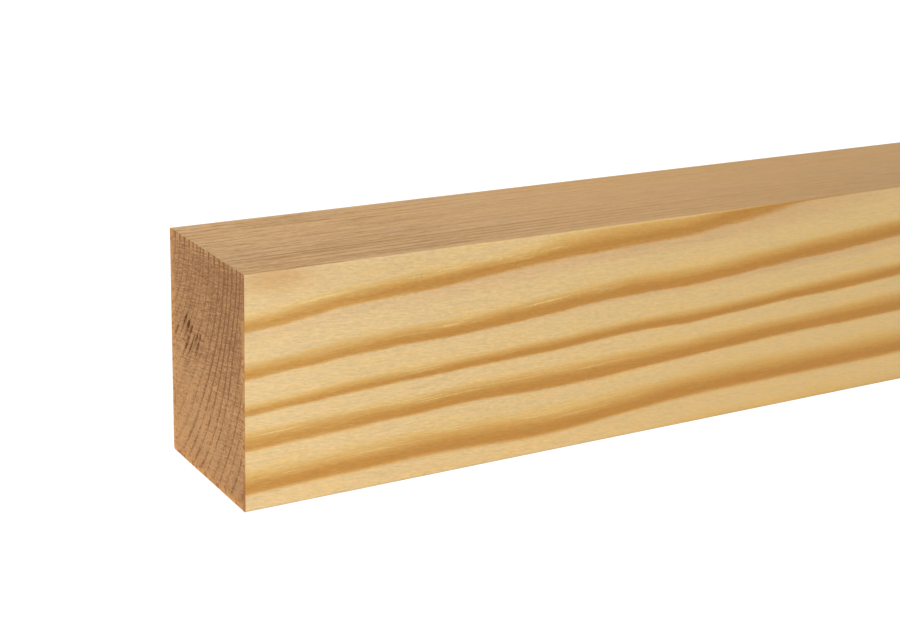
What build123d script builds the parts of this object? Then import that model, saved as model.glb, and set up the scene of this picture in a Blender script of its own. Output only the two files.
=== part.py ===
from build123d import *
import math
import os

# Planed softwood batten, lying on one of its narrow faces.
# X runs along the grain, Y across the batten and Z up.
# The origin is the middle of the face that it rests on.
# The end at -X is the sawn end with the torn grain.

# Section and length
BATTEN_LENGTH = 1000.0
SECTION_WIDTH = 34.0
SECTION_HEIGHT = 45.0
ARRIS_RADIUS = 0.45

# By the torn splits the growth rings are arcs about this place, which lies outside the section.
RINGS_ACROSS = 65.0
RINGS_UP = 66.0

# Splits that the saw tore open in one end, along the rings.
# Each is (place across, place up, length along the ring, width, depth).
TORN_SPLITS = (
    (10.1, 28.9, 3.8, 0.55, 1.6),
    (8.75, 28.05, 3.1, 0.90, 2.6),
    (7.4, 27.5, 2.9, 0.70, 2.2),
    (6.1, 26.5, 1.6, 0.40, 1.0),
    (4.7, 26.8, 1.9, 0.50, 1.4),
    (3.1, 27.3, 1.5, 0.55, 1.6),
    (4.1, 25.5, 1.2, 0.55, 1.6),
    (4.7, 24.5, 1.0, 0.50, 1.6),
    (5.05, 23.4, 1.3, 0.45, 1.4),
    (7.6, 24.1, 4.2, 0.40, 1.2),
    (8.75, 25.4, 1.5, 0.45, 1.2),
    (10.0, 23.5, 2.1, 0.60, 1.8),
    (14.3, 25.6, 3.6, 0.40, 1.0),
)

# A split closes towards its bottom, to these shares of its length and width.
BOTTOM_LENGTH_SHARE = 0.6
BOTTOM_WIDTH_SHARE = 0.3


def ring_point(radius, angle):
    """Place on a growth ring, from its radius and the angle about the rings' middle in degrees."""
    turn = math.radians(angle)
    return (RINGS_ACROSS + radius * math.cos(turn), RINGS_UP + radius * math.sin(turn))


def split_mouth(plane, across, up, length, width):
    """Sketch a split's outline: two flat arcs, one each side of the ring, that meet at its tips."""
    radius = math.hypot(across - RINGS_ACROSS, up - RINGS_UP)
    middle = math.degrees(math.atan2(up - RINGS_UP, across - RINGS_ACROSS))
    half_angle = math.degrees(length / radius) / 2
    low_tip = ring_point(radius, middle - half_angle)
    high_tip = ring_point(radius, middle + half_angle)
    with BuildSketch(plane) as mouth:
        with BuildLine():
            ThreePointArc(low_tip, ring_point(radius - width / 2, middle), high_tip)
            ThreePointArc(high_tip, ring_point(radius + width / 2, middle), low_tip)
        make_face()
    return mouth.sketch


with BuildPart() as timber_batten:
    # Planed length of stock, sawn off square at both ends
    near_end = Plane.YZ.offset(-BATTEN_LENGTH / 2)
    with BuildSketch(near_end):
        Rectangle(SECTION_WIDTH, SECTION_HEIGHT, align=(Align.CENTER, Align.MIN))
    extrude(amount=BATTEN_LENGTH)

    # The four long arrises are eased, and the sawn edges stay sharp
    long_arrises = timber_batten.edges().filter_by(Axis.X)
    fillet(long_arrises, radius=ARRIS_RADIUS)

    # Torn splits, each wide at the sawn face and closing into the wood
    for across, up, length, width, depth in TORN_SPLITS:
        mouth = split_mouth(near_end, across, up, length, width)
        bottom = split_mouth(
            near_end.offset(depth),
            across,
            up,
            length * BOTTOM_LENGTH_SHARE,
            width * BOTTOM_WIDTH_SHARE,
        )
        loft(sections=[mouth, bottom], mode=Mode.SUBTRACT)

timber_batten.part.label = "timber_batten"

os.makedirs("parts", exist_ok=True)
export_step(timber_batten.part, "parts/timber_batten.step")
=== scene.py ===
import math

import bpy
from bpy.props import FloatProperty, FloatVectorProperty, PointerProperty
from mathutils import Euler, Matrix, Vector


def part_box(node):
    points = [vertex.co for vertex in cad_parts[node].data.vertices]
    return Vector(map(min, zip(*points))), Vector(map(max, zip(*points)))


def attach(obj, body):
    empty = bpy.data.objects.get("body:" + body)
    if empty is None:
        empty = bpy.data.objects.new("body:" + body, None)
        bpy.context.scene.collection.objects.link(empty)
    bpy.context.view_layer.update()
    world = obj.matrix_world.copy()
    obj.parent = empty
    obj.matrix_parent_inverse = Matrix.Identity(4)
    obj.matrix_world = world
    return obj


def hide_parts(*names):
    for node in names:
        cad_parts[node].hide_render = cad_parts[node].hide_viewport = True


bl_info = {
    "name": "Planed softwood batten",
    "version": (1, 0, 0),
    "blender": (4, 5, 0),
    "location": "3D View > Sidebar > Batten",
    "description": "Dresses a planed softwood batten with its growth rings and sawn ends",
    "category": "Object",
}

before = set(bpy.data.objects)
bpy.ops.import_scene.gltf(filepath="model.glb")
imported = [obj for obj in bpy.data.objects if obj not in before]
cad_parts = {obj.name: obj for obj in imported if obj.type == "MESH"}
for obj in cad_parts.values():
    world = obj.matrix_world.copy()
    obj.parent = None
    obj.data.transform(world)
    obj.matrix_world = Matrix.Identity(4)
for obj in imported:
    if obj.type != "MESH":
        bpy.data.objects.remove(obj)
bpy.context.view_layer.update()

NODE = "timber_batten"
MM = 0.001
LOW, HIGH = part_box(NODE)
LENGTH, WIDTH, HEIGHT = HIGH - LOW

# Middle of the tree, from the middle of the batten's resting face, in millimetres
PITH_ACROSS = 65.0
PITH_UP = 50.0

# Middle of the arcs that the rings follow by the torn splits, in millimetres
SPLIT_RINGS_ACROSS = 65.0
SPLIT_RINGS_UP = 66.0

# Splits that the saw tore open along the rings in the end at -X, in millimetres.
# Each is (place across, place up, length along the ring, width, depth).
TORN_SPLITS = (
    (10.1, 28.9, 3.8, 0.55, 1.6),
    (8.75, 28.05, 3.1, 0.90, 2.6),
    (7.4, 27.5, 2.9, 0.70, 2.2),
    (6.1, 26.5, 1.6, 0.40, 1.0),
    (4.7, 26.8, 1.9, 0.50, 1.4),
    (3.1, 27.3, 1.5, 0.55, 1.6),
    (4.1, 25.5, 1.2, 0.55, 1.6),
    (4.7, 24.5, 1.0, 0.50, 1.6),
    (5.05, 23.4, 1.3, 0.45, 1.4),
    (7.6, 24.1, 4.2, 0.40, 1.2),
    (8.75, 25.4, 1.5, 0.45, 1.2),
    (10.0, 23.5, 2.1, 0.60, 1.8),
    (14.3, 25.6, 3.6, 0.40, 1.0),
)

# Growth rings, by the radius in millimetres where a ring's dark wood ends:
# (radius, ring count there, how dark the ring's line is on a sawn end)
RING_EDGES = (
    (46.8, 0.0, 0.20),
    (57.9, 5.0, 0.25),
    (61.5, 7.0, 0.20),
    (64.5, 9.0, 0.20),
    (67.0, 10.0, 0.20),
    (69.5, 11.0, 0.25),
    (71.7, 12.0, 0.40),
    (73.8, 13.0, 1.00),
    (75.5, 14.0, 0.85),
    (77.2, 15.0, 0.95),
    (79.2, 16.0, 0.80),
    (80.6, 17.0, 1.00),
    (83.35, 18.0, 0.30),
    (85.4, 19.0, 0.90),
    (87.6, 20.0, 0.30),
    (90.15, 21.0, 0.90),
    (93.9, 22.0, 0.50),
    (100.6, 23.0, 0.50),
    (110.0, 26.0, 0.50),
)

INNER_RADIUS = RING_EDGES[0][0]
RADIUS_SPAN = RING_EDGES[-1][0] - INNER_RADIUS
RING_COUNT = RING_EDGES[-1][1]

# How fast the grain leans out of the batten, away from the pith and round it
RADIUS_LEAN = 0.0125
ROUND_LEAN = 0.03
MEAN_RADIUS = 82.0

# Inside this radius the rings low down are wider than those high up, by this share
WIDE_WITHIN = 80.6
WIDE_SHARE = 0.242

# Share of a ring that is dark wood, by radius in millimetres
DARK_SHARES = (
    (46.8, 0.23),
    (80.6, 0.26),
    (82.5, 0.150),
    (83.4, 0.150),
    (84.8, 0.285),
    (85.6, 0.285),
    (86.9, 0.225),
    (87.7, 0.225),
    (89.2, 0.38),
    (90.4, 0.38),
    (92.6, 0.38),
)

# Places where the dark wood is narrower, in millimetres:
# (along, up, reach along, reach up, share of its width taken away, or added where it is negative)
NARROWINGS = (
    (56.0, 41.0, 14.0, 5.0, 0.35),
    (135.0, 33.0, 28.0, 3.5, 0.18),
    (142.0, 25.0, 22.0, 2.5, -0.20),
)

# Gentle swells of the fibres, in millimetres: (along, up, reach along, reach up, height)
SWELLS = (
    (48.0, 16.0, 12.0, 8.0, 0.17),
    (87.0, 23.0, 9.0, 5.0, 0.14),
    (120.0, 29.0, 17.0, 10.0, -0.13),
    (153.0, 29.0, 12.0, 8.0, 0.12),
)

# Colours of planed wood by its ripeness, from pale wood through golden wood to dark wood
PLANED_COLOURS = (
    (0.00, (0.812, 0.592, 0.300)),
    (0.15, (0.790, 0.542, 0.218)),
    (0.40, (0.728, 0.448, 0.148)),
    (0.70, (0.655, 0.364, 0.095)),
    (1.00, (0.550, 0.266, 0.055)),
)

WHITE = (1.0, 1.0, 1.0, 1.0)

# Direction of the scratches that the saw left in the ends, as (across, up)
SCRATCH_RUN = (0.985, -0.17)

# Places nearer than this to a plane count as lying in it
NEAR = 0.01 * MM

# Steps of the mesh along the grain from each end, in millimetres, and the number of steps between
END_STEPS = (0.4, 0.6, 1.0, 2.0, 4.0, 8.0)
MIDDLE_STEPS = 40

# A split's cutter starts this far outside the end, in millimetres, and closes to this share of its width
CUTTER_PROUD = 0.1
CUTTER_BOTTOM_SHARE = 0.44
CUTTER_SIDES = 10

# Steps of an arris's rounding, and the angle below which neighbouring faces are shaded as one
ARRIS_STEPS = 3
SMOOTH_ANGLE = math.radians(32.0)

# Grains of the relief that the saw and the planer left
SAW_MARK = 0.9 * MM
PLANER_WAVE = 9.0 * MM

# Share of the map's height that the two ends take, and the gap round each part of it
ENDS_SHARE = 0.27
MAP_GAP = 0.004

# Lamps: (setting that holds the power, place, aim, width, whether the planed wood reflects it).
# Only the key is reflected: the others light the shaded sides, and would glare on the planed wood.
LAMPS = (
    ("key", (-1.52, -1.28, 1.19), (-0.42, 0.0, 0.02), 0.88, True),
    ("side", (1.70, -0.80, 0.45), (0.35, 0.0, 0.02), 0.50, False),
    ("back", (0.30, 1.50, 0.25), (0.10, 0.0, 0.02), 0.40, False),
)
FLOOR_SIZE = 12.0

# Greys of the floor as light falls on it and as the camera sees it, and its glow to the camera
FLOOR_GREY = 0.80
SEEN_FLOOR_GREY = 0.35
FLOOR_GLOW = 0.85


def size_value(name, description, default, least=0.0):
    """A length that a user can change."""
    return FloatProperty(
        name=name,
        description=description,
        default=default,
        min=least,
        subtype="DISTANCE",
        unit="LENGTH",
    )


def colour_value(name, description, default):
    """A colour that a user can change."""
    return FloatVectorProperty(
        name=name,
        description=description,
        default=default,
        min=0.0,
        max=1.0,
        size=3,
        subtype="COLOR",
    )


def angle_value(name, description, degrees):
    """An angle that a user can change."""
    return FloatProperty(
        name=name,
        description=description,
        default=math.radians(degrees),
        subtype="ANGLE",
        unit="ROTATION",
    )


def power_value(name, description, default):
    """A lamp's power that a user can change."""
    return FloatProperty(name=name, description=description, default=default, min=0.0, unit="POWER")


class BattenSizes(bpy.types.PropertyGroup):
    """Sizes of the batten that the frame doesn't hold."""

    arris: size_value("Arris", "Radius of the eased long edges", 0.45 * MM)
    cell: size_value(
        "Mesh cell",
        "Width of the mesh's faces across the section",
        0.5 * MM,
        least=0.1 * MM,
    )
    saw_relief: size_value(
        "Saw relief",
        "Greatest depth of the pits that the saw left in the ends",
        0.14 * MM,
    )
    planed_relief: size_value(
        "Planed relief",
        "Greatest depth of the waves in the planed faces",
        0.04 * MM,
    )


class BattenWood(bpy.types.PropertyGroup):
    """Colours of the wood."""

    # Partly the colour of wood cut across the rings and partly painted shade, as the top gets less light
    edge_cut_tint_and_shade: colour_value(
        "Edge-cut tint",
        "Tint of the planed faces that cut straight across the rings",
        (0.937, 0.84, 0.96),
    )
    far_tint: colour_value(
        "Far tint",
        "Tint of the planed faces away from the torn end, where the wood is yellower",
        (0.97, 0.925, 0.80),
    )
    blush: colour_value(
        "Blush",
        "Tint of the pinkish wood that a band of dark wood ends in",
        (0.90, 0.82, 0.89),
    )
    line: colour_value(
        "Ring lines",
        "Tint of the thin lines where a face cuts straight across the rings",
        (0.66, 0.58, 0.47),
    )
    resin: colour_value(
        "Resin streaks",
        "Colour of the thin pale streaks along the grain",
        (0.90, 0.67, 0.27),
    )
    end_pale: colour_value(
        "Pale end grain",
        "Colour of the early wood on the sawn ends",
        (0.760, 0.413, 0.179),
    )
    end_dark: colour_value(
        "Dark end grain",
        "Colour of the late wood on the sawn ends",
        (0.318, 0.146, 0.056),
    )
    # Colour of a painted glow of light along the lower and side edges of the sawn ends
    end_edge_glow: colour_value(
        "End rim",
        "Colour of the sawn ends along their lower and side edges",
        (0.82, 0.44, 0.160),
    )
    speck: colour_value(
        "Specks",
        "Colour of the reddish specks along the edges of the sawn ends",
        (0.50, 0.175, 0.060),
    )
    # Partly the torn wood's colour and partly painted shade of the splits' hollows
    split: colour_value(
        "Torn splits",
        "Colour inside the torn splits",
        (0.20, 0.065, 0.015),
    )


class BattenStage(bpy.types.PropertyGroup):
    """Camera and lights."""

    lens: FloatProperty(
        name="Focal length",
        description="Focal length on a 36 mm wide sensor, in millimetres",
        default=71.33,
        min=1.0,
        unit="CAMERA",
    )
    place: FloatVectorProperty(
        name="Camera place",
        description="Place of the camera",
        default=(-0.62092, -0.28790, 0.13590),
        size=3,
        subtype="TRANSLATION",
        unit="LENGTH",
    )
    heading: angle_value(
        "Heading",
        "Turn of the view to the right of straight across the batten",
        30.985,
    )
    pitch: angle_value("Pitch", "Turn of the view above level", -18.226)
    roll: angle_value("Roll", "Turn of the camera about its own view", 1.808)
    room: FloatProperty(
        name="Room light",
        description="Strength of the even light from all round",
        default=0.40,
        min=0.0,
    )
    key: power_value(
        "Key light",
        "Power of the large soft lamp in front of the banded side and the torn end",
        23.7,
    )
    side: power_value(
        "Side light",
        "Power of the soft lamp that lights the clean end",
        6.0,
    )
    back: power_value(
        "Back light",
        "Power of the soft lamp that lights the side away from the key light",
        9.0,
    )


class Wire:
    """A node's output that can stand in a Python expression."""

    def __init__(self, sheet, output):
        self.sheet = sheet
        self.output = output

    def maths(self, operation, *values):
        """Add a Math node on these values."""
        return self.sheet.node("ShaderNodeMath", {"operation": operation}, dict(enumerate(values)))

    def __add__(self, other):
        return self.maths("ADD", self, other)

    def __radd__(self, other):
        return self.maths("ADD", other, self)

    def __sub__(self, other):
        return self.maths("SUBTRACT", self, other)

    def __rsub__(self, other):
        return self.maths("SUBTRACT", other, self)

    def __mul__(self, other):
        return self.maths("MULTIPLY", self, other)

    def __truediv__(self, other):
        return self.maths("DIVIDE", self, other)

    def __pow__(self, other):
        return self.maths("POWER", self, other)

    def __neg__(self):
        return self.maths("MULTIPLY", self, -1.0)

    def __abs__(self):
        return self.maths("ABSOLUTE", self)

    def sine(self):
        """Sine of an angle in radians."""
        return self.maths("SINE", self)

    def exponent(self):
        """The number e to this power."""
        return self.maths("EXPONENT", self)

    def part(self):
        """What is left after the whole number."""
        return self.maths("FRACT", self)

    def above(self, low, high):
        """0 below low, 1 above high and a smooth rise between them."""
        return self.sheet.node(
            "ShaderNodeMapRange",
            {"interpolation_type": "SMOOTHSTEP"},
            {"Value": self, "From Min": low, "From Max": high},
        )

    def least(self, other):
        """The smaller of the two."""
        return self.maths("MINIMUM", self, other)

    def most(self, other):
        """The larger of the two."""
        return self.maths("MAXIMUM", self, other)


class Sheet:
    """The node tree of a material or of the world."""

    def __init__(self, owner):
        self.owner = owner
        owner.use_nodes = True
        self.tree = owner.node_tree
        self.tree.nodes.clear()

    def node(self, kind, settings=None, sockets=None, output=0):
        """Add a node, its settings first and then the values or links of its sockets."""
        node = self.tree.nodes.new(kind)
        for name, value in (settings or {}).items():
            if name == "stops":
                self.set_stops(node.color_ramp, value)
            elif name == "points":
                self.set_points(node.mapping, value)
            else:
                setattr(node, name, value)
        for name, value in (sockets or {}).items():
            if isinstance(value, Wire):
                self.tree.links.new(value.output, node.inputs[name])
            else:
                node.inputs[name].default_value = value
        return Wire(self, node.outputs[output]) if node.outputs else None

    @staticmethod
    def set_stops(ramp, stops):
        """Give a ramp these (place, value) stops, the values as greys."""
        while len(ramp.elements) > 1:
            ramp.elements.remove(ramp.elements[-1])
        for index, (place, value) in enumerate(stops):
            stop = ramp.elements[0] if index == 0 else ramp.elements.new(place)
            stop.position = place
            stop.color = (*value, 1.0) if isinstance(value, tuple) else (value, value, value, 1.0)

    @staticmethod
    def set_points(mapping, points):
        """Give a curve these points, with straight runs between them."""
        curve = mapping.curves[0]
        while len(curve.points) < len(points):
            curve.points.new(0.5, 0.5)
        for point, place in zip(curve.points, points):
            point.location = place
            point.handle_type = "VECTOR"
        mapping.update()

    def mix(self, share, first, second, blend="MIX"):
        """Mix two colours by a share."""
        return self.node(
            "ShaderNodeMix",
            {"data_type": "RGBA", "blend_type": blend},
            {0: share, 6: first, 7: second},
            output=2,
        )

    def vector(self, across, along, up):
        """A vector from three values."""
        return self.node("ShaderNodeCombineXYZ", None, {0: across, 1: along, 2: up})

    def noise(self, place, detail=2.0, roughness=0.5):
        """Soft noise about 0.5 at a place."""
        return self.node(
            "ShaderNodeTexNoise",
            None,
            {"Vector": place, "Scale": 1.0, "Detail": detail, "Roughness": roughness},
        )

    def bump(self, strength, distance, height):
        """The surface's direction once this height lifts it."""
        sockets = {"Strength": strength, "Distance": distance, "Height": height}
        return self.node("ShaderNodeBump", None, sockets)

    def finish(self, shader, output="ShaderNodeOutputMaterial"):
        """Join a shader to the output, and return the tree's owner."""
        self.node(output, None, {"Surface": shader})
        return self.owner


def with_alpha(colour):
    """A colour as a socket takes it."""
    return (*colour, 1.0)


def oval(first, first_reach, second, second_reach):
    """1 where both measures are 0, fading out over a reach in each of them."""
    first = first / first_reach
    second = second / second_reach
    return (-(first * first) - second * second).exponent()


def span_share(radius):
    """A radius as a share of the span between the innermost and the outermost ring's edge."""
    return (radius - INNER_RADIUS) / RADIUS_SPAN


def ring_turn(across, up):
    """Angle about the grain at which the rings' radius meets a torn split."""
    return math.atan2(up - SPLIT_RINGS_UP, across - SPLIT_RINGS_ACROSS)


class Timber:
    """The growth rings and fibres of the wood, alike on every face that cuts it, in millimetres."""

    def __init__(self, sheet):
        self.sheet = sheet
        place = sheet.node("ShaderNodeTexCoord", output=3)
        from_torn_end = sheet.node(
            "ShaderNodeMapping",
            {"vector_type": "POINT"},
            {"Vector": place, "Scale": (1 / MM, 1 / MM, 1 / MM), "Location": (LENGTH / 2 / MM, 0.0, 0.0)},
        )
        self.along, self.across, self.up = self.parts(from_torn_end)
        self.add_radius()
        self.add_rings()

    def parts(self, vector):
        """The three values of a vector."""
        return [self.sheet.node("ShaderNodeSeparateXYZ", None, {0: vector}, output=n) for n in range(3)]

    def noise(self, along, radial, tangential, detail=2.0, roughness=0.5):
        """Noise from -0.5 to 0.5 whose grains lie with the fibres and have these sizes."""
        place = self.sheet.vector(self.along / along, self.radius / radial, self.round / tangential)
        return self.sheet.noise(place, detail=detail, roughness=roughness) - 0.5

    def block_noise(self, along, across, up, detail=2.0, roughness=0.5):
        """Noise from -0.5 to 0.5 whose grains lie with the batten and have these sizes."""
        place = self.sheet.vector(self.along / along, self.across / across, self.up / up)
        return self.sheet.noise(place, detail=detail, roughness=roughness) - 0.5

    def oblique_noise(self, length, width, slant=0.42):
        """Noise of short strokes that cross the fibres at a slant, as a planer leaves them."""
        run = (self.along + (self.up + self.across) * slant) / length
        rise = (self.up - self.along * slant) / width
        return self.sheet.noise(self.sheet.vector(run, rise, self.across / width)) - 0.5

    def spot(self, along, up, reach_along, reach_up):
        """1 at a place on the banded side, fading out over its reach along and up."""
        return oval(self.along - along, reach_along, self.up - up, reach_up)

    def add_radius(self):
        """Measure from the pith, which the batten's grain leans away from and winds about."""
        aside, above = self.across - PITH_ACROSS, self.up - PITH_UP
        plain_radius = (aside * aside + above * above) ** 0.5
        low_down = 1.0 - self.up.above(14.0, 42.0)
        widened = (WIDE_WITHIN - plain_radius).most(0.0) * low_down * WIDE_SHARE
        self.radius = plain_radius + widened + self.along * RADIUS_LEAN + self.waves(plain_radius)
        turn = self.up.maths("ARCTAN2", above, aside)
        self.round = turn * MEAN_RADIUS - self.along * ROUND_LEAN

    def waves(self, plain_radius):
        """How far the fibres wind to and fro, as the bands on the side at -Y show it."""
        low_down = 1.0 - self.up.above(6.0, 21.0)
        high_up = self.up.above(33.0, 42.0)
        between = (1.0 - low_down) * (1.0 - high_up)

        # The bands' slow turn away from a straight line, and the bulge in the lowest ones
        slow = low_down * (self.along.above(90.0, 170.0) * 0.45 + 0.10)
        slow = slow + high_up * self.along.above(55.0, 100.0) * 0.28
        bulge = oval(self.along - self.up * 1.1 - 60.0, 19.0, self.up - 3.0, 12.0) * 0.68

        # Short waves and swells, and a hump of the rings in the torn end
        short = (self.along * (math.tau / 50.0) - 1.57).sine() * 0.07 * between
        for along, up, reach_along, reach_up, height in SWELLS:
            short = short + self.spot(along, up, reach_along, reach_up) * height
        hump = oval(self.up - 29.0, 7.0, plain_radius - 79.0, 3.0) * 0.7

        # Beyond the stretch that was measured the fibres wander as they do in any softwood.
        wander = self.block_noise(70.0, 16.0, 16.0) * self.along.above(160.0, 330.0) * 2.4
        tremble = self.block_noise(12.0, 4.0, 4.0) * 0.20 * (1.0 - high_up * 0.6)
        fray = self.block_noise(1.6, 0.8, 0.5) * 0.05 + self.oblique_noise(0.9, 0.25) * 0.10
        return short - slow - bulge + hump + wander + tremble + fray

    def flat_cut(self):
        """1 where a face lies along the rings and 0 where it cuts square across them."""
        sheet = self.sheet
        normal = sheet.node("ShaderNodeTexCoord", output=1)
        outwards = sheet.vector(0.0, self.across - PITH_ACROSS, self.up - PITH_UP)
        outwards = sheet.node("ShaderNodeVectorMath", {"operation": "NORMALIZE"}, {0: outwards})
        facing = sheet.node(
            "ShaderNodeVectorMath",
            {"operation": "DOT_PRODUCT"},
            {0: normal, 1: outwards},
            output=1,
        )
        return abs(facing).above(0.15, 0.65)

    def over_radius(self, stops):
        """A value that changes with the radius, through these (radius, value) stops."""
        places = [(span_share(radius), value) for radius, value in stops]
        return self.sheet.node("ShaderNodeValToRGB", {"stops": places}, {"Fac": span_share(self.radius)})

    def ring_part(self):
        """How far the wood is through its ring, from 0 after one ring's edge to 1 at the next."""
        points = [(span_share(radius), count / RING_COUNT) for radius, count, _ in RING_EDGES]
        share = span_share(self.radius)
        counted = self.sheet.node("ShaderNodeFloatCurve", {"points": points}, {"Value": share})
        return (counted * RING_COUNT).part()

    def dark_share(self):
        """Share of its ring that is dark wood."""
        near_end = 1.0 - self.along.above(4.0, 20.0)
        by_arris = 0.22 + self.along.above(75.0, 100.0) * 0.20
        share = self.over_radius(DARK_SHARES)
        share = share * (1.0 + self.block_noise(40.0, 9.0, 9.0) * 0.5)
        share = share * (1.0 - self.up.above(27.0, 33.0) * near_end * 0.30)
        share = share * (1.0 - self.up.above(36.0, 42.0) * by_arris)
        for along, up, reach_along, reach_up, taken in NARROWINGS:
            share = share * (1.0 - self.spot(along, up, reach_along, reach_up) * taken)
        return share

    def add_rings(self):
        """Find each ring's golden and dark wood, the pinkish wood after it, and its thin line."""
        through = self.ring_part()
        to_edge = 1.0 - through
        from_dark = to_edge / self.dark_share()
        self.golden = 1.0 - from_dark.above(0.18, 1.72)
        halo = (1.0 - from_dark.above(0.8, 3.6)) * through.above(0.05, 0.45)
        self.late = self.golden * (0.85 + to_edge.above(0.0, 0.03) * 0.15) + halo * 0.05
        self.late = self.late + (1.0 - through.above(0.0, 0.07)) * 0.85

        high_up = self.up.above(24.0, 34.0)
        blush_reach = 0.12 + high_up * 0.22
        blush_strength = 0.45 + high_up * self.along.above(20.0, 60.0) * 0.35
        self.blush = (1.0 - (through / blush_reach).above(0.2, 1.0)) * blush_strength

        self.thin_line = through.above(0.64, 0.90) * (1.0 - through.above(0.97, 1.0))
        self.line = self.thin_line * self.over_radius([(radius, dark) for radius, _, dark in RING_EDGES])


class PlanedWood:
    """The long faces: pale wood banded by dark wood, with fibres, flecks and resin streaks."""

    def __init__(self, wood):
        self.wood = wood
        self.sheet = Sheet(bpy.data.materials.new("planed_wood"))
        self.timber = Timber(self.sheet)
        self.along, self.up = self.timber.along, self.timber.up
        self.flat_cut = self.timber.flat_cut()
        self.edge_cut = 1.0 - self.flat_cut
        self.add_patterns()

    def add_patterns(self):
        """Add the patterns that several of the steps below use."""
        timber, along = self.timber, self.along
        self.fibre = timber.noise(10.0, 0.20, 0.30, detail=3.0, roughness=0.65)
        self.fleck = timber.oblique_noise(1.6, 0.26, slant=-0.12)
        self.grit = timber.block_noise(0.60, 0.40, 0.30)
        self.cloud = timber.block_noise(26.0, 7.0, 6.0)
        self.mottle = timber.block_noise(3.0, 1.1, 0.7, detail=3.0, roughness=0.65)
        self.ripple = timber.block_noise(8.0, 2.0, 1.1)
        # The upper corner of the banded side by the torn end is a little bruised.
        self.corner = timber.spot(6.0, 43.8, 7.0, 2.4)
        # The fine texture is crispest by the torn end and calmest some way along.
        self.crisp = 1.25 - along.above(30.0, 130.0) * 0.65 + along.above(170.0, 230.0) * 0.4

    def ripeness(self):
        """0 in pale wood and 1 in the darkest wood."""
        timber = self.timber
        grown = 0.87 + self.along.above(15.0, 45.0).most(1.0 - self.up.above(5.0, 9.0)) * 0.13
        banded = timber.late * grown
        banded = banded + (self.fibre * 0.50 + self.grit * 0.40) * timber.late.above(0.02, 0.4)
        banded = banded + self.cloud * 0.08 + self.mottle * 0.18 + self.ripple * 0.26 + self.corner * 0.16
        streak = timber.noise(24.0, 0.60, 2.0)
        lined = 0.12 + self.cloud * 0.12 + streak * 0.30 * self.crisp
        ripe = banded * self.flat_cut + lined * self.edge_cut
        return ripe.most(0.0).least(1.0)

    def tinted(self, colour):
        """Tint the wood by its distance from the torn end and by the way that a face cuts it, the tint of
        faces cut across the rings, as the top is, being partly painted shade.
        """
        sheet, wood = self.sheet, self.wood
        blush = self.timber.blush + self.mottle.above(-0.02, 0.20) * 0.20 + self.corner * 1.2
        far_tint = sheet.mix(self.along.above(-30.0, 130.0), WHITE, with_alpha(wood.far_tint))
        blush_tint = sheet.mix(blush, WHITE, with_alpha(wood.blush))
        # Faces cut across the rings, the top among them, take a tint that is partly painted shade.
        cut_tint_and_shade = sheet.mix(self.edge_cut, blush_tint, with_alpha(wood.edge_cut_tint_and_shade))
        colour = sheet.mix(1.0, colour, far_tint, blend="MULTIPLY")
        return sheet.mix(1.0, colour, cut_tint_and_shade, blend="MULTIPLY")

    def lined(self, colour):
        """Draw the rings and fibres as thin dark lines where a face cuts square across them."""
        timber, sheet = self.timber, self.sheet
        near_end = 1.0 - self.along.above(5.0, 75.0)
        fine_line = timber.noise(32.0, 0.52, 4.0, detail=1.0).above(0.0, 0.14)
        dash = timber.noise(3.2, 0.34, 1.5).above(0.0, 0.14)
        broken = timber.noise(6.0, 0.7, 2.0).above(-0.20, 0.10)
        rings = (timber.line * 0.85 + timber.thin_line * 0.40) * (0.25 + broken * 0.75)
        fine = (fine_line * 0.75 + dash * 0.62) * (0.25 + near_end)
        lines = (rings + fine) * (self.crisp - 0.20) - 0.06 - near_end * 0.16
        dark = sheet.mix(1.0, colour, with_alpha(self.wood.line), blend="MULTIPLY")
        return sheet.mix(lines.most(0.0).least(1.0) * self.edge_cut, colour, dark)

    def shaded(self, colour):
        """Make the wood lighter and darker in fibres, flecks and patches, and paint light and shade on
        it: lighter by the torn end, darker along the batten, and lighter low on the sides and towards the
        back of the top.
        """
        along, up = self.along, self.up
        fine = (self.fibre * 0.18 + self.fleck * 0.33 + self.grit * 0.16) * self.crisp
        broad = self.cloud * 0.06 + self.mottle * 0.19 + self.ripple * 0.15
        near_top = up.above(37.0, 43.0) * (1.0 - along.above(22.0, 55.0))
        # Painted light on the banded sides: lighter by the torn end, and lighter low down, partly the
        # wood's tone and partly painted floor bounce; darker by the top arris near the torn end.
        painted_side_light = (1.0 - along.above(0.0, 32.0)) * 0.045 + 0.010
        painted_side_light = painted_side_light - up.above(5.0, 40.0) * 0.020 - near_top * 0.045
        # Painted light on the top: lighter towards the back and darker far along.
        painted_top_light = self.timber.across.above(-16.0, 14.0) * 0.09 - along.above(90.0, 160.0) * 0.045
        # Painted light: the planed faces darken along the batten, as the light falls off away from the
        # torn end.
        shade = 1.055 + fine + broad - along.above(-40.0, 200.0) * 0.105
        shade = shade + painted_side_light * self.flat_cut + painted_top_light * self.edge_cut
        return self.sheet.mix(1.0, colour, self.sheet.vector(shade, shade, shade), blend="MULTIPLY")

    def streaked(self, colour):
        """Draw resin streaks in the golden wood, and the torn end's brushed fibres."""
        timber, along = self.timber, self.along
        hair = timber.noise(18.0, 0.060, 1.6, detail=1.0).above(0.05, 0.16)
        cluster = timber.noise(26.0, 0.5, 6.0, detail=1.0).above(-0.05, 0.08)
        in_golden_wood = timber.golden.above(0.04, 0.25) * (1.0 - timber.golden.above(0.62, 0.92))
        streaks = hair * cluster * in_golden_wood * (0.80 - along.above(50.0, 100.0) * 0.74)
        brush = timber.oblique_noise(5.0, 0.20, slant=0.10).above(0.08, 0.24)
        brushed = brush * (1.0 - along.above(8.0, 40.0)) * 0.35
        return self.sheet.mix((streaks + brushed) * self.flat_cut, colour, with_alpha(self.wood.resin))

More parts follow.
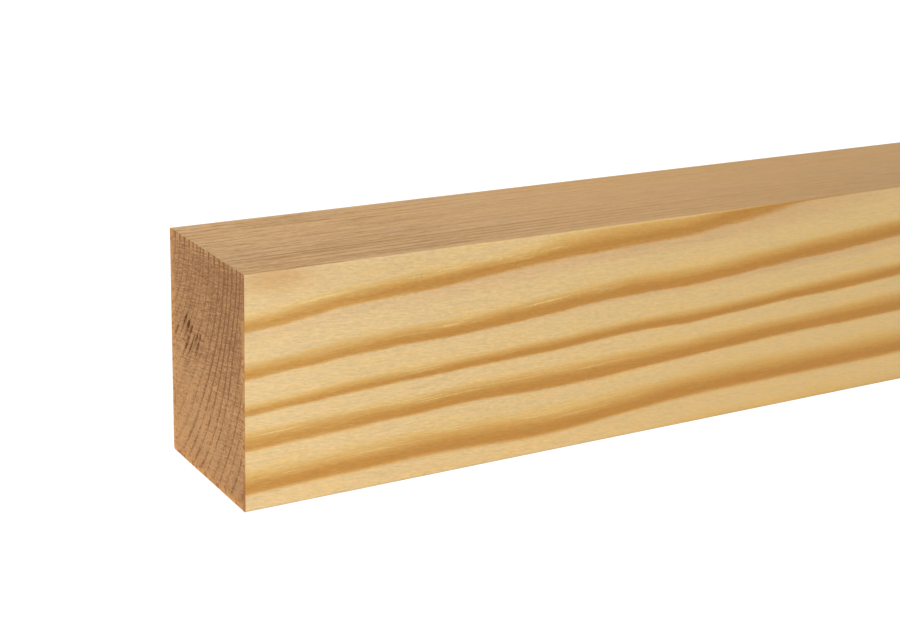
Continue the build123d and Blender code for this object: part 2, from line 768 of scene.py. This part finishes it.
    def material(self):
        """Put the steps together into the finished material."""
        sheet, late = self.sheet, self.timber.late
        height = (self.fibre + self.fleck) * 0.8 + late * 0.4
        colour = sheet.node("ShaderNodeValToRGB", {"stops": PLANED_COLOURS}, {"Fac": self.ripeness()})
        for step in (self.tinted, self.lined, self.shaded, self.streaked):
            colour = step(colour)
        bump = sheet.bump(0.35, 0.05 * MM, height)
        shader = sheet.node(
            "ShaderNodeBsdfPrincipled",
            None,
            {
                "Base Color": colour,
                "Roughness": 0.62 - late * 0.10 + self.fleck * 0.1,
                "Normal": bump,
                "Specular IOR Level": 0.35,
            },
        )
        return sheet.finish(shader)


class SawnEndGrain:
    """The ends: rings as thin dark lines, saw scratches across them, pits, and painted light along the
    edges.
    """

    def __init__(self, wood):
        self.wood = wood
        self.sheet = Sheet(bpy.data.materials.new("sawn_end_grain"))
        self.timber = Timber(self.sheet)
        self.across, self.up = self.timber.across, self.timber.up
        self.add_patterns()

    def add_patterns(self):
        """Add the patterns that several of the steps below use."""
        timber, sheet, across, up = self.timber, self.sheet, self.across, self.up
        self.pits = timber.noise(2.0, 0.30, 1.0, detail=3.0, roughness=0.65)
        self.grit = timber.block_noise(0.5, 0.30, 0.26)
        self.patch = timber.block_noise(20.0, 5.0, 7.0)
        run = across * SCRATCH_RUN[0] + up * SCRATCH_RUN[1]
        rise = up * SCRATCH_RUN[0] - across * SCRATCH_RUN[1]
        scratched = sheet.vector(run / 4.5, rise / 0.34, timber.along / 2.0)
        self.scratches = sheet.noise(scratched, detail=3.0) - 0.5
        faint = timber.block_noise(30.0, 4.0, 5.0).above(-0.16, 0.06)
        line = timber.line * (0.40 + faint * 0.60) * (1.0 + self.scratches * 1.3)
        self.line = line * (0.75 + up.above(18.0, 32.0) * 0.70)

    def bruises(self):
        """How far the saw bruised the wood along the ring by each torn split."""
        shade = 0.0
        for across, up, length, width, depth in TORN_SPLITS:
            turn = ring_turn(across, up)
            radial = math.cos(turn), math.sin(turn)
            along_ring = -radial[1], radial[0]
            drawn = length * 0.35
            aside = self.across - (across + along_ring[0] * drawn)
            above = self.up - (up + along_ring[1] * drawn)
            over = aside * radial[0] + above * radial[1]
            beyond = aside * along_ring[0] + above * along_ring[1]
            bruise = oval(over, 0.18 + width * 0.45, beyond, 0.6 + length * 0.75)
            shade = bruise * (0.35 + depth * 0.22) + shade
        return shade.least(1.0)

    def darkness(self):
        """0 in the palest end grain and 1 in the darkest."""
        timber, up = self.timber, self.up
        near_torn_end = 1.0 - timber.along.above(20.0, 40.0)
        torn = self.bruises() * near_torn_end
        pulled = oval(self.across - 8.0, 7.0, up - 26.0, 6.0) * near_torn_end
        tears = timber.noise(4.0, 0.55, 3.5) * pulled

        from_top = HEIGHT / MM - up
        teeth = (1.0 - from_top.above(0.4, 1.9)) * (timber.thin_line * 1.5 - 0.25)
        # Darker upwards and towards the front: partly the wood's tone and partly painted light thrown up
        # by the floor onto the lower end.
        dark = 0.22 + up.above(2.0, 44.0) * 0.44 - self.across * 0.006
        dark = dark + timber.late * 0.08 + self.line * 0.80 + teeth * 0.9 + torn * 0.55 + tears * 1.4
        dark = dark - self.pits * 1.9 + self.grit * 1.7 + self.patch * 0.5
        dark = dark + self.scratches * (1.1 + up.above(8.0, 22.0) * 0.4)
        return dark.most(0.0).least(1.0)

    def painted_edge_light(self, colour):
        """Paint light along the edges, a glow by the back and lower edges and a highlight by the front
        arris, then draw reddish specks in it and the bruised front corners.
        """
        sheet, up = self.sheet, self.up
        from_back = 0.5 * WIDTH / MM - self.across
        from_front = 0.5 * WIDTH / MM + self.across
        # Painted light: a glow where light comes through the back and lower edges and up from the floor,
        # and a painted highlight on the front arris.
        back_edge_glow = (1.0 - (from_back + self.patch * 2.0 + self.grit * 2.0).above(0.8, 2.6)) * 0.60
        low_edge_glow = (1.0 - (up + self.patch * 3.0 + self.grit * 5.0).above(0.6, 2.0)) * 0.75
        middle_height = up.above(6.0, 10.0) - up.above(34.0, 40.0)
        front_arris_highlight = (1.0 - (from_front + self.patch).above(0.9, 2.2)) * middle_height * 0.55
        edge_glow = back_edge_glow.most(low_edge_glow).most(front_arris_highlight)
        colour = sheet.mix(edge_glow, colour, with_alpha(self.wood.end_edge_glow))

        specks = self.timber.block_noise(2.0, 1.2, 0.8).above(0.05, 0.10) * edge_glow.above(0.05, 0.3) * 0.85
        at_corners = (1.0 - up.above(5.0, 8.0)).most(up.above(36.0, 41.0))
        bruised = (1.0 - from_front.above(0.6, 1.6)) * at_corners * 0.5
        return sheet.mix(specks.most(bruised), colour, with_alpha(self.wood.speck))

    def material(self):
        """Put the steps together into the finished material."""
        sheet, wood, along = self.sheet, self.wood, self.timber.along
        height = self.pits + self.scratches - self.line * 0.4
        colour = sheet.mix(self.darkness(), with_alpha(wood.end_pale), with_alpha(wood.end_dark))
        colour = self.painted_edge_light(colour)
        # Inside the torn splits the wood is painted darker with depth: partly the torn wood's colour and
        # partly painted shade of the hollow.
        from_end = along.least(LENGTH / MM - along)
        colour = sheet.mix(from_end.above(0.18, 0.50) * 0.9, colour, with_alpha(wood.split))
        bump = sheet.bump(0.6, 0.18 * MM, height)
        shader = sheet.node(
            "ShaderNodeBsdfPrincipled",
            None,
            {"Base Color": colour, "Roughness": 0.85, "Normal": bump, "Specular IOR Level": 0.25},
        )
        return sheet.finish(shader)


def deselect_all():
    """Leave no object selected."""
    bpy.ops.object.select_all(action="DESELECT")


def select_only(*pieces):
    """Select these pieces and no others, and make the first of them active."""
    deselect_all()
    for piece in pieces:
        piece.select_set(True)
    bpy.context.view_layer.objects.active = pieces[0]


def set_place(piece):
    """Put a piece's place into its mesh and its object at the origin."""
    select_only(piece)
    bpy.ops.object.transform_apply(location=True, rotation=True, scale=True)


def stations():
    """Steps of the extrusion along the grain: short at the ends and long between them."""
    left = LENGTH / MM - 2 * sum(END_STEPS)
    middle_steps = (left / MIDDLE_STEPS,) * MIDDLE_STEPS
    return [step * MM for step in END_STEPS + middle_steps + END_STEPS[::-1]]


def add_section(cell):
    """Model the batten's section in the end at -X, as a grid of square cells, and return the piece."""
    deselect_all()
    bpy.ops.mesh.primitive_grid_add(
        x_subdivisions=round(WIDTH / cell),
        y_subdivisions=round(HEIGHT / cell),
        size=1.0,
        location=(LOW.x, (LOW.y + HIGH.y) / 2, (LOW.z + HIGH.z) / 2),
        rotation=(math.pi / 2, 0.0, math.pi / 2),
    )
    piece = bpy.context.object
    piece.name = "batten"
    piece.data.name = "batten"
    piece.scale = (WIDTH, HEIGHT, 1.0)
    set_place(piece)
    return piece


def draw_out():
    """Draw the active piece's section out along the grain."""
    bpy.ops.object.mode_set(mode="EDIT")
    bpy.ops.mesh.select_all(action="SELECT")
    for step in stations():
        bpy.ops.mesh.extrude_region_move(TRANSFORM_OT_translate={"value": (step, 0.0, 0.0)})
    bpy.ops.mesh.select_all(action="SELECT")
    bpy.ops.mesh.normals_make_consistent(inside=False)
    bpy.ops.mesh.select_all(action="DESELECT")
    bpy.ops.object.mode_set(mode="OBJECT")


def is_on_arris(place):
    """Whether a place lies on one of the section's four corners."""
    at_side = min(abs(place.y - LOW.y), abs(place.y - HIGH.y)) < NEAR
    at_top = min(abs(place.z - LOW.z), abs(place.z - HIGH.z)) < NEAR
    return at_side and at_top


def ease_arrises(piece, radius):
    """Round the active piece's four long edges."""
    points = piece.data.vertices
    for edge in piece.data.edges:
        first, last = (points[index].co for index in edge.vertices)
        edge.select = abs(first.x - last.x) > NEAR and is_on_arris(first)
    bpy.ops.object.mode_set(mode="EDIT")
    bpy.context.tool_settings.mesh_select_mode = (False, True, False)
    bpy.ops.mesh.bevel(offset=radius, offset_type="OFFSET", segments=ARRIS_STEPS, affect="EDGES")
    bpy.ops.mesh.select_all(action="DESELECT")
    bpy.ops.object.mode_set(mode="OBJECT")


def add_split_cutter(across, up, length, width, depth):
    """Model the wedge that a torn split leaves, wide at the sawn face and narrow at its bottom."""
    deselect_all()
    bpy.ops.mesh.primitive_cone_add(
        vertices=CUTTER_SIDES,
        radius1=0.5,
        radius2=0.5 * CUTTER_BOTTOM_SHARE,
        depth=1.0,
        location=(LOW.x + (depth - CUTTER_PROUD) / 2 * MM, across * MM, up * MM),
    )
    cutter = bpy.context.object
    size = Matrix.Diagonal((width * MM, length * MM, (depth + CUTTER_PROUD) * MM, 1.0))
    into_wood = Matrix.Rotation(math.pi / 2, 4, "Y")
    along_ring = Matrix.Rotation(ring_turn(across, up), 4, "X")
    place = Matrix.Translation(cutter.location)
    # The cone's width lies across the ring once its axis has been turned into the wood.
    across_ring = Matrix.Rotation(math.pi / 2, 4, "Z")
    cutter.matrix_world = place @ along_ring @ into_wood @ across_ring @ size
    set_place(cutter)
    return cutter


def cut_splits(piece):
    """Cut the torn splits out of the end at -X."""
    cutters = [add_split_cutter(*split) for split in TORN_SPLITS]
    select_only(*cutters)
    bpy.ops.object.join()
    cutter = bpy.context.object
    cut = piece.modifiers.new("splits", "BOOLEAN")
    cut.operation = "DIFFERENCE"
    cut.solver = "EXACT"
    cut.object = cutter
    select_only(piece)
    bpy.ops.object.modifier_apply(modifier=cut.name)
    bpy.data.objects.remove(cutter)


def add_relief(piece, name, points, grain, depth):
    """Sink some of a piece's points by up to depth, in a pattern whose grains have this size."""
    group = piece.vertex_groups.new(name=name)
    group.add(points, 1.0, "REPLACE")
    texture = bpy.data.textures.new(name, "CLOUDS")
    texture.noise_scale = grain
    texture.noise_depth = 2
    sink = piece.modifiers.new(name, "DISPLACE")
    sink.texture = texture
    sink.texture_coords = "LOCAL"
    sink.vertex_group = group.name
    # The pattern's value runs from about -0.1 to 1.1, so with this level no point rises.
    sink.mid_level = -0.2
    sink.strength = -depth / 1.2
    bpy.context.view_layer.objects.active = piece
    bpy.ops.object.modifier_apply(modifier=sink.name)
    piece.vertex_groups.clear()
    bpy.data.textures.remove(texture)


def is_inside_section(place, margin):
    """Whether a place lies inside the section's outline by more than a margin."""
    return (
        LOW.y + margin < place.y < HIGH.y - margin
        and LOW.z + margin < place.z < HIGH.z - margin
    )


def roughen(piece, sizes):
    """Give the piece the pits of the saw on its ends and the waves of the planer on its long faces."""
    points = piece.data.vertices
    at_ends = [
        p.index
        for p in points
        if min(p.co.x - LOW.x, HIGH.x - p.co.x) < NEAR and is_inside_section(p.co, sizes.arris / 2)
    ]
    painted_side_light = [p.index for p in points if not is_inside_section(p.co, sizes.arris)]
    add_relief(piece, "saw marks", at_ends, SAW_MARK, sizes.saw_relief)
    add_relief(piece, "planer waves", painted_side_light, PLANER_WAVE, sizes.planed_relief)


def is_on_end(face, sizes):
    """Whether a face belongs to a sawn end or to one of its splits."""
    return is_inside_section(face.center, sizes.arris) or abs(face.normal.x) > 0.8


def add_wood(piece, sizes, wood):
    """Give the piece planed wood on its long faces and sawn end grain on its ends."""
    piece.data.materials.append(PlanedWood(wood).material())
    piece.data.materials.append(SawnEndGrain(wood).material())
    for face in piece.data.polygons:
        face.material_index = 1 if is_on_end(face, sizes) else 0


def on_end_map(place, is_torn):
    """Where a place on a sawn end goes on the map: the two ends lie on their sides above the strips."""
    start = 0.0 if is_torn else 0.5
    right = start + MAP_GAP + (place.z - LOW.z) / HEIGHT * (0.5 - 2 * MAP_GAP)
    rise = MAP_GAP + (place.y - LOW.y) / WIDTH * (ENDS_SHARE - 2 * MAP_GAP)
    return right, 1.0 - ENDS_SHARE + rise


def on_strip_map(place, normal):
    """Where a place on a long face goes on the map: each face is a strip, in their order round."""
    if abs(normal.y) > abs(normal.z):
        start = 0.0 if normal.y < 0 else HEIGHT + WIDTH
        size = HEIGHT
        share = (place.z - LOW.z) / HEIGHT
    else:
        start = HEIGHT if normal.z > 0 else 2 * HEIGHT + WIDTH
        size = WIDTH
        share = (place.y - LOW.y) / WIDTH
    scale = (1.0 - ENDS_SHARE) / (2 * (WIDTH + HEIGHT))
    right = MAP_GAP + (place.x - LOW.x) / LENGTH * (1 - 2 * MAP_GAP)
    return right, start * scale + MAP_GAP + share * (size * scale - 2 * MAP_GAP)


def lay_out_map(piece, sizes):
    """Lay out the map that the piece's colours would be baked to."""
    layer = piece.data.uv_layers.new(name="OFBake")
    for face in piece.data.polygons:
        at_end = is_on_end(face, sizes)
        for corner in face.loop_indices:
            place = piece.data.vertices[piece.data.loops[corner].vertex_index].co
            if at_end:
                layer.uv[corner].vector = on_end_map(place, face.center.x < 0)
            else:
                layer.uv[corner].vector = on_strip_map(place, face.normal)


class BATTEN_OT_timber(bpy.types.Operator):
    """Model the batten and give it its wood"""

    bl_idname = "batten.timber"
    bl_label = "Timber batten"
    bl_options = {"REGISTER", "UNDO"}

    def execute(self, context):
        sizes = context.scene.batten_sizes
        wood = context.scene.batten_wood
        piece = add_section(sizes.cell)
        draw_out()
        ease_arrises(piece, sizes.arris)
        cut_splits(piece)
        roughen(piece, sizes)
        add_wood(piece, sizes, wood)
        lay_out_map(piece, sizes)
        select_only(piece)
        bpy.ops.object.shade_smooth_by_angle(angle=SMOOTH_ANGLE)
        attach(piece, "root")
        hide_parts(NODE)
        return {"FINISHED"}


def floor_paint(sheet, grey):
    """Matt paint of one grey."""
    return sheet.node("ShaderNodeBsdfDiffuse", None, {"Color": (grey, grey, grey, 1.0), "Roughness": 0.0})


def floor_material():
    """White floor that the camera sees as white, with the batten's shadow on it."""
    sheet = Sheet(bpy.data.materials.new("white_floor"))
    camera_sees = sheet.node("ShaderNodeLightPath", output=0)
    gloss_sees = sheet.node("ShaderNodeLightPath", output=3)
    glass_sees = sheet.node("ShaderNodeLightPath", output=6)
    seen = (camera_sees + gloss_sees + glass_sees).least(1.0)
    glow = sheet.node("ShaderNodeEmission", None, {"Color": WHITE, "Strength": FLOOR_GLOW})
    bright = sheet.node("ShaderNodeAddShader", None, {0: floor_paint(sheet, SEEN_FLOOR_GREY), 1: glow})
    paint = floor_paint(sheet, FLOOR_GREY)
    shader = sheet.node("ShaderNodeMixShader", None, {0: seen, 1: paint, 2: bright})
    return sheet.finish(shader)


def add_floor():
    """Lay the floor under the batten."""
    deselect_all()
    bpy.ops.mesh.primitive_plane_add(size=FLOOR_SIZE, location=(0.0, 0.0, LOW.z))
    floor = bpy.context.object
    floor.name = "floor"
    set_place(floor)
    floor.data.materials.append(floor_material())


def add_camera(stage):
    """Set the camera where the photograph was taken from."""
    camera = bpy.data.objects.new("camera", bpy.data.cameras.new("camera"))
    camera.data.sensor_width = 36.0
    camera.data.lens = stage.lens
    camera.data.clip_start = 0.01
    camera.data.clip_end = 50.0
    level = Euler((math.pi / 2 + stage.pitch, 0.0, -stage.heading)).to_matrix().to_4x4()
    view = level @ Matrix.Rotation(stage.roll, 4, "Z")
    camera.matrix_world = Matrix.Translation(stage.place) @ view
    bpy.context.scene.collection.objects.link(camera)
    bpy.context.scene.camera = camera


def add_lamp(name, place, aim, size, power):
    """Hang a square soft lamp at a place, aim it and return it."""
    lamp = bpy.data.objects.new(name, bpy.data.lights.new(name, "AREA"))
    lamp.data.shape = "SQUARE"
    lamp.data.size = size
    lamp.data.energy = power
    look = (Vector(aim) - Vector(place)).to_track_quat("-Z", "Y")
    lamp.matrix_world = Matrix.Translation(place) @ look.to_matrix().to_4x4()
    bpy.context.scene.collection.objects.link(lamp)
    return lamp


def light_room(stage):
    """Fill the room with even light, which the camera sees as white."""
    sheet = Sheet(bpy.data.worlds.new("white_room"))
    camera_sees = sheet.node("ShaderNodeLightPath", output=0)
    even = sheet.node("ShaderNodeBackground", None, {"Color": WHITE, "Strength": stage.room})
    white = sheet.node("ShaderNodeBackground", None, {"Color": WHITE, "Strength": 1.0})
    shader = sheet.node("ShaderNodeMixShader", None, {0: camera_sees, 1: even, 2: white})
    bpy.context.scene.world = sheet.finish(shader, "ShaderNodeOutputWorld")


class BATTEN_OT_stage(bpy.types.Operator):
    """Set the floor, the lamps and the camera"""

    bl_idname = "batten.stage"
    bl_label = "Stage"
    bl_options = {"REGISTER", "UNDO"}

    def execute(self, context):
        stage = context.scene.batten_stage
        add_floor()
        add_camera(stage)
        light_room(stage)
        for name, place, aim, width, reflected in LAMPS:
            lamp = add_lamp(name, place, aim, width, getattr(stage, name))
            lamp.visible_glossy = reflected
        context.scene.view_settings.view_transform = "Standard"
        return {"FINISHED"}


class BATTEN_PT_panel(bpy.types.Panel):
    """Lists the batten's operators and the values they use"""

    bl_label = "Batten"
    bl_idname = "BATTEN_PT_panel"
    bl_space_type = "VIEW_3D"
    bl_region_type = "UI"
    bl_category = "Batten"

    def draw(self, context):
        scene = context.scene
        for group in (scene.batten_sizes, scene.batten_wood, scene.batten_stage):
            box = self.layout.box()
            for name in group.bl_rna.properties.keys():
                if name not in ("rna_type", "name"):
                    box.prop(group, name)
        self.layout.operator("batten.stage")
        self.layout.operator("batten.timber")


CLASSES = (BattenSizes, BattenWood, BattenStage, BATTEN_OT_timber, BATTEN_OT_stage, BATTEN_PT_panel)


def register():
    """Add the classes and the scene's property groups."""
    for each in CLASSES:
        bpy.utils.register_class(each)
    bpy.types.Scene.batten_sizes = PointerProperty(type=BattenSizes)
    bpy.types.Scene.batten_wood = PointerProperty(type=BattenWood)
    bpy.types.Scene.batten_stage = PointerProperty(type=BattenStage)


def unregister():
    """Take the property groups and the classes away."""
    del bpy.types.Scene.batten_stage
    del bpy.types.Scene.batten_wood
    del bpy.types.Scene.batten_sizes
    for each in reversed(CLASSES):
        bpy.utils.unregister_class(each)


def main():
    """Register the add-on, set the stage and model the batten."""
    register()
    bpy.ops.batten.stage()
    bpy.ops.batten.timber()


if __name__ == "__main__":
    main()
